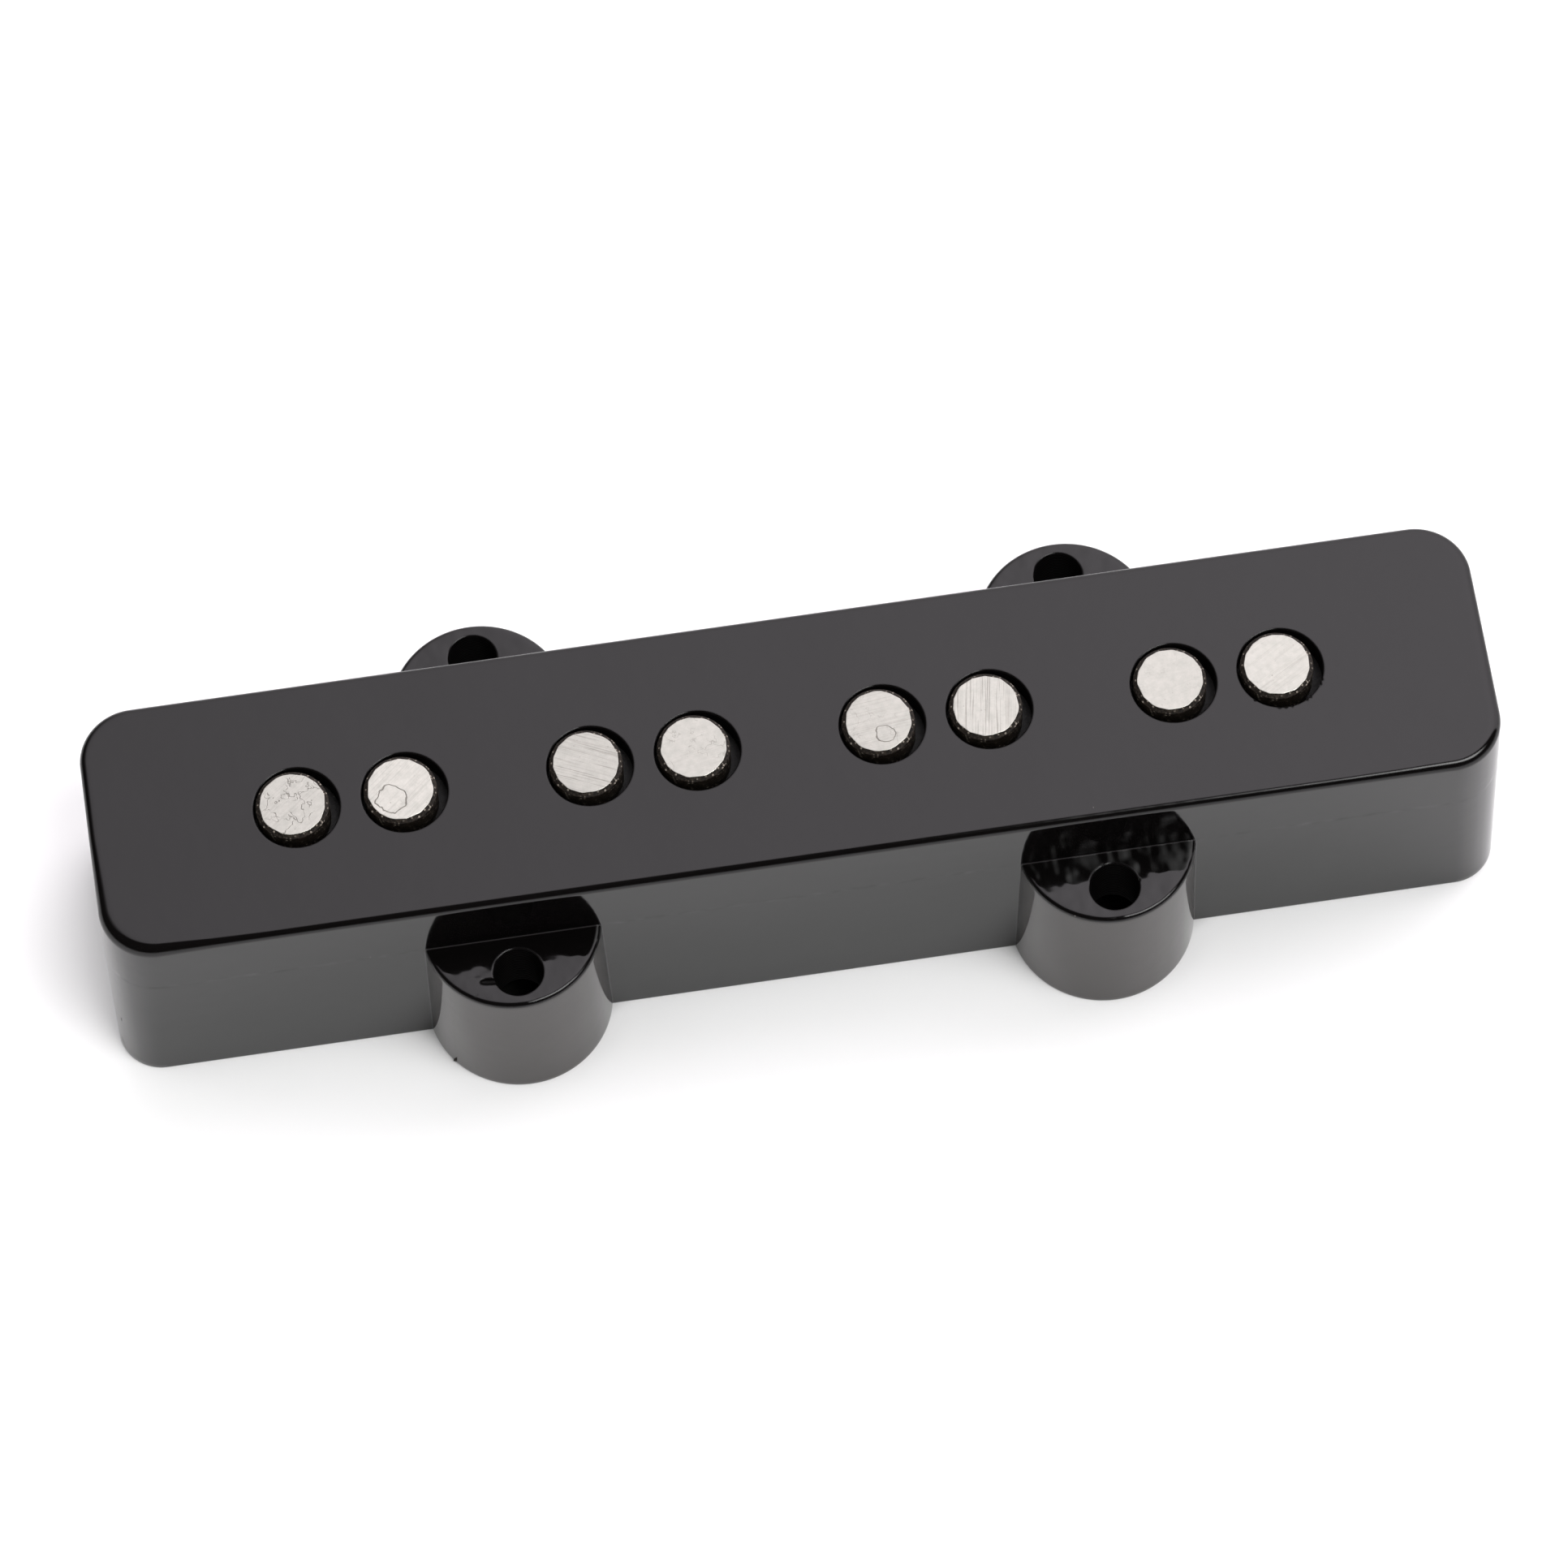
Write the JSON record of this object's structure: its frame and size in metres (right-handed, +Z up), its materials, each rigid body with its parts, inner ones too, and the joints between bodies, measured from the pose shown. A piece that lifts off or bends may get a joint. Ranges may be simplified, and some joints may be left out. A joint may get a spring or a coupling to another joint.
{
  "type": "bass guitar pickup",
  "caption": "Single-coil bass guitar pickup: long black moulded cover with screw ears over a coil wound round rod magnets whose bright ends stand through round holes in the top.",
  "frame": {"origin": "middle of the cover at its bottom rim, on the plane that the pickup stands on", "axes": "+X along the row of magnets, +Y across it, +Z up, towards the strings"},
  "size_m": [0.092, 0.028, 0.0186],
  "materials": {
    "cover_plastic": "polished moulded black ABS",
    "black_fibre": "punched vulcanised fibre sheet",
    "magnet_alloy": "cast rod, hand-ground ends",
    "core_tape": "thin amber film tape",
    "coil_wire": "enamelled copper wire",
    "wrap_tape": "black woven cloth tape",
    "eyelet_brass": "pressed brass, rolled rim",
    "solder": "flowed tin solder"
  },
  "bodies": {
    "coil_assembly": {"bottom_flatwork": "black_fibre", "top_flatwork": "black_fibre", "magnet_1": "magnet_alloy", "magnet_2": "magnet_alloy", "magnet_3": "magnet_alloy", "magnet_4": "magnet_alloy", "magnet_5": "magnet_alloy", "magnet_6": "magnet_alloy", "magnet_7": "magnet_alloy", "magnet_8": "magnet_alloy", "core_tape": "core_tape", "coil": "coil_wire", "coil_tape": "wrap_tape", "hot_eyelet": "eyelet_brass", "ground_eyelet": "eyelet_brass", "hot_solder": "solder", "ground_solder": "solder", "start_lead": "coil_wire", "finish_lead": "coil_wire"},
    "cover": {"cover": "cover_plastic"}
  },
  "joints": [
    {"name": "cover_lift", "type": "slide", "parent": "coil_assembly", "child": "cover", "axis": [0, 0, 1], "range_m": [0, 0.021]}
  ]
}
